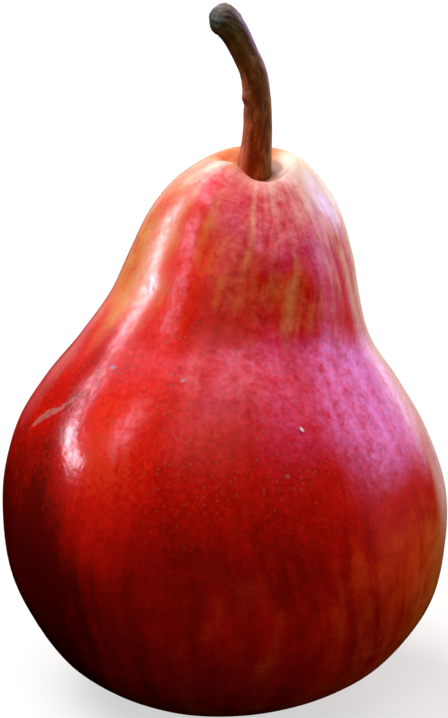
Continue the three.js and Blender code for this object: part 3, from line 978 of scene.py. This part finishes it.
# %% [markdown]
# ## Dried sepal
# A sepal that has dried for months is brown and felted: short hairs and dust scatter the light,
# so it has no gloss at all, and its colour runs from dark brown to fawn within a millimetre.
# Hairs could be made with a particle system, but under a fruit they would be lost. A noise of
# 0.6 mm serves for both its colour and its relief, with a roughness of 0.8, as felt has.

# %% Dried sepal
dried_sepal, tree = new_material("dried_sepal")
place = tree.nodes.new("ShaderNodeTexCoord").outputs["Object"]
felt = add(tree, "TexNoise", {
    "Vector": place, "Scale": 1 / (0.6 * MM), "Detail": 3, "Roughness": 0.7})
sepal_colour = add(tree, "ValToRGB", {"Fac": felt})
paint_ramp(sepal_colour, [(0.3, "#24160e"), (0.55, "#4a3220"), (0.8, "#7c6448")])
bumped = add(tree, "Bump", {"Height": felt, "Strength": 1.0, "Distance": 0.1 * MM})
shader = add(tree, "BsdfPrincipled", {
    "Base Color": sepal_colour, "Roughness": 0.8, "Normal": bumped})
add(tree, "OutputMaterial", {"Surface": shader})
dry_pieces = [piece for piece in bpy.context.scene.collection.objects
              if piece.name.startswith(("sepal", "stamen", "calyx_cup"))]
for piece in dry_pieces:
    piece.data.materials.append(dried_sepal)
print(len(dry_pieces), "dry pieces")

# %% [markdown]
# ## The floor
# The pear stands on plain white paper. A lit white floor would turn grey away from the lights and
# throw white up at the fruit. This paper glows faintly instead, brighter further out, so that it
# ends in the white behind it. The pear still casts its shadow on it, and isn't lit by it.

# %% The floor
FLOOR_SIZE, FLOOR_SIDES = 6, 96


def floor_disc(size):
    """A flat disc of the given radius in metres, at height 0."""
    mesh = bpy.data.meshes.new("floor")
    turns = np.linspace(0, 2 * math.pi, FLOOR_SIDES, endpoint=False)
    ring = [(size * math.cos(a), size * math.sin(a), 0) for a in turns]
    mesh.from_pydata(ring, [], [list(range(FLOOR_SIDES))])
    made = bpy.data.objects.new("floor", mesh)
    bpy.context.scene.collection.objects.link(made)
    made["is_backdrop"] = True
    return made


floor = floor_disc(FLOOR_SIZE)
floor.visible_diffuse = False
floor.visible_glossy = False
floor.visible_shadow = False

white_paper, tree = new_material("white_paper")
place = tree.nodes.new("ShaderNodeTexCoord").outputs["Object"]
away = add(tree, "VectorMath", {0: place}, operation="LENGTH")
glow = add(tree, "MapRange", {"Value": away, "From Min": 0.2, "From Max": 1.4,
                              "To Min": 0.62, "To Max": 1.0}, interpolation_type="SMOOTHSTEP")
paper = add(tree, "BsdfPrincipled", {
    "Base Color": (0.3, 0.3, 0.3, 1), "Roughness": 0.9, "Specular IOR Level": 0.0,
    "Emission Color": (1, 1, 1, 1), "Emission Strength": glow})
add(tree, "OutputMaterial", {"Surface": paper})
floor.data.materials.append(white_paper)
print("floor:", FLOOR_SIZE * 2, "m across")

# %% [markdown]
# ## The lights
# Gloss shows the shape of its lights, so a waxed fruit is lit like polished metal: with large
# soft boxes whose edges fade. An environment picture could light it too, but its reflections
# couldn't be placed one by one. Here some boxes only light the colours and the others only show
# in the gloss, so the two can be set apart. A violet tint from above and from the right is what
# a cool sky outside a window gives the wax.

# %% A softbox
AIM = Vector((0, 0, 0.05))
BOX_DISTANCE = 0.9


def softbox(name, azimuth, elevation, wide, high, radiance, colour, gives, soft=0.5, roll=0):
    """An area light round the pear, its size in degrees. It stands at an azimuth from the front,
    90 on the right, and gives light or gloss. `soft` is the share of it that fades out."""
    width, height = (2 * BOX_DISTANCE * math.tan(math.radians(d / 2)) for d in (wide, high))
    a, e = math.radians(azimuth), math.radians(elevation)
    toward = Vector((math.sin(a) * math.cos(e), -math.cos(a) * math.cos(e), math.sin(e)))
    light = bpy.data.lights.new(name, "AREA")
    light.shape, light.size, light.size_y = "RECTANGLE", width, height
    light.energy = radiance * math.pi * width * height
    light.color = colour
    light.use_nodes = True
    tree = light.node_tree
    on_cloth = tree.nodes.new("ShaderNodeNewGeometry").outputs["Parametric"]
    off = add(tree, "VectorMath", {0: on_cloth, 1: (0.5, 0.5, 0)}, operation="SUBTRACT")
    off = add(tree, "VectorMath", {0: off}, operation="ABSOLUTE")
    off = add(tree, "SeparateXYZ", {0: off}).node.outputs
    fade_x, fade_y = (add(tree, "MapRange", {"Value": off[i], "From Min": 0.5,
                                             "From Max": 0.5 - soft / 2},
                          interpolation_type="SMOOTHSTEP") for i in (0, 1))
    glow = add(tree, "Math", {0: fade_x, 1: fade_y}, operation="MULTIPLY")
    tree.links.new(glow, tree.nodes["Emission"].inputs["Strength"])
    made = bpy.data.objects.new(name, light)
    bpy.context.scene.collection.objects.link(made)
    made.location = AIM + toward * BOX_DISTANCE
    made.rotation_euler = toward.to_track_quat("Z", "Y").to_euler()
    made.rotation_euler.rotate_axis("Z", math.radians(roll))
    made.visible_camera = False
    made.visible_diffuse, made.visible_glossy = gives == "light", gives == "gloss"
    print(f"{name}: {width:.2f} by {height:.2f} m")
    return made


# %% The boxes that light the colours
# warm light from the upper left and the front, with less of it from the right and behind
softbox("front", -8, 52, 44, 40, 3.6, (1, 0.98, 0.96), "light", 0.02)
softbox("back_left", -125, 60, 40, 30, 6.0, (1, 0.97, 0.95), "light", 0.02)
softbox("left_wall", -124, 42, 36, 30, 5.6, (1, 0.95, 0.9), "light", 0.02)
softbox("right_wall", 104, 2, 46, 26, 4.3, (1, 0.92, 0.85), "light", 0.02)
softbox("back_right", 145, 35, 40, 30, 1.8, (1, 1, 1), "light", 0.02)

# %% The boxes that show in the gloss
# above: the broad sheen over the shoulder and the crown
softbox("overhead", 150, 85, 112, 84, 2.3, (0.95, 0.6, 1.0), "gloss", 0.8)
softbox("overhead_front", 25, 60, 84, 22, 1.5, (0.9, 0.45, 1.0), "gloss", 0.9)
softbox("overhead_right", 59, 41, 66, 46, 1.95, (0.6, 0.26, 1.0), "gloss", 1.0)
softbox("overhead_left", -58, 64, 50, 18, 2.4, (1.0, 0.7, 1.0), "gloss", 1.0)
# on the right: the cool sheen down the neck and the shoulder's far side
softbox("right_window", 108, 25, 74, 52, 7.0, (0.4, 0.36, 1.0), "gloss", 0.8)
softbox("right_low", 140, 5, 40, 24, 3.4, (0.6, 0.6, 1.0), "gloss", 0.9)
# on the left: one bright narrow window, and a fainter glow round it
softbox("left_window", -96, 15, 30, 8.5, 18.0, (0.95, 0.85, 1.0), "gloss", 0.5, -20)
softbox("left_upper", -111, 28, 20, 24, 5.6, (1.0, 0.8, 1.0), "gloss", 0.9)
softbox("left_pink", -66, 35, 24, 39, 4.0, (1.0, 0.7, 0.95), "gloss", 1.0, -15)
# behind: a light rim at the edges
softbox("left_back", -156, 42, 40, 44, 2.2, (1.0, 0.85, 0.8), "gloss", 0.8)
softbox("right_floor", 160, -8, 46, 30, 0.8, (1.0, 0.94, 0.88), "gloss", 0.8)
softbox("backdrop", 176, 25, 84, 70, 1.0, (1.0, 1.0, 1.0), "gloss", 0.6)

# %% [markdown]
# ## The white behind it all
# A studio has white all round. The camera sees it at full strength, and the pear gets only a
# breath of it, so that the boxes shape the fruit and its shaded side stays deep. The Light Path
# node tells the two apart, and it may do so here because this is the room and not the fruit.

# %% The room
world = bpy.data.worlds.new("studio")
world.use_nodes = True
bpy.context.scene.world = world
sky = world.node_tree
seen = sky.nodes.new("ShaderNodeLightPath").outputs["Is Camera Ray"]
strength = add(sky, "MapRange", {"Value": seen, "To Min": 0.06, "To Max": 1.0})
sky.links.new(strength, sky.nodes["Background"].inputs["Strength"])
sky.nodes["Background"].inputs["Color"].default_value = (1, 1, 1, 1)
world.cycles_visibility.glossy = False
print("lights:", len(bpy.data.lights))

# %% [markdown]
# ## The camera
# The eye is 450 mm from the pear's middle and 16 degrees above level, as it is for someone who
# sits at the table. The lens could be turned until the pear fits the frame. It is worked out
# instead: the frame's longer side, in pixels, times the distance, over how many pixels a
# millimetre of pear should take. A small shift then puts the pear in its place in the frame, and
# leaves the perspective as it is.

# %% The camera
EYE_DISTANCE, EYE_ELEVATION = 450, 16
FRAME_WIDTH, FRAME_HEIGHT = 448, 718
PIXELS_PER_MM = 5.84  # at the pear's middle
AIM_X, AIM_Y = 223.5, 409.4  # where in the frame the pear's middle lands, in pixels
SENSOR_WIDTH = 36

lift = math.radians(EYE_ELEVATION)
looking = Vector((0, math.cos(lift), -math.sin(lift)))
target = Vector((*(AXIS_SHIFT[:2] * MM), AIM.z))
camera_data = bpy.data.cameras.new("camera")
camera = bpy.data.objects.new("camera", camera_data)
bpy.context.scene.collection.objects.link(camera)
camera.location = target - looking * EYE_DISTANCE * MM
camera.rotation_euler = looking.to_track_quat("-Z", "Y").to_euler()
camera_data.sensor_width = SENSOR_WIDTH
camera_data.lens = SENSOR_WIDTH * EYE_DISTANCE * PIXELS_PER_MM / FRAME_HEIGHT
camera_data.shift_x = (FRAME_WIDTH / 2 - AIM_X) / FRAME_HEIGHT
camera_data.shift_y = (AIM_Y - FRAME_HEIGHT / 2) / FRAME_HEIGHT
bpy.context.scene.camera = camera
bpy.context.scene.view_settings.view_transform = "Standard"
print(f"lens: {camera_data.lens:.1f} mm")

# %% [markdown]
# ## Sizes, then the end
# The finished pear is made to fill the same box as the CAD model. Its box is printed, in
# millimetres.

# %% Sizes, then the end
low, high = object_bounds()
print("visual box in mm:", [round(c / MM, 2) for c in (*low, *high)])
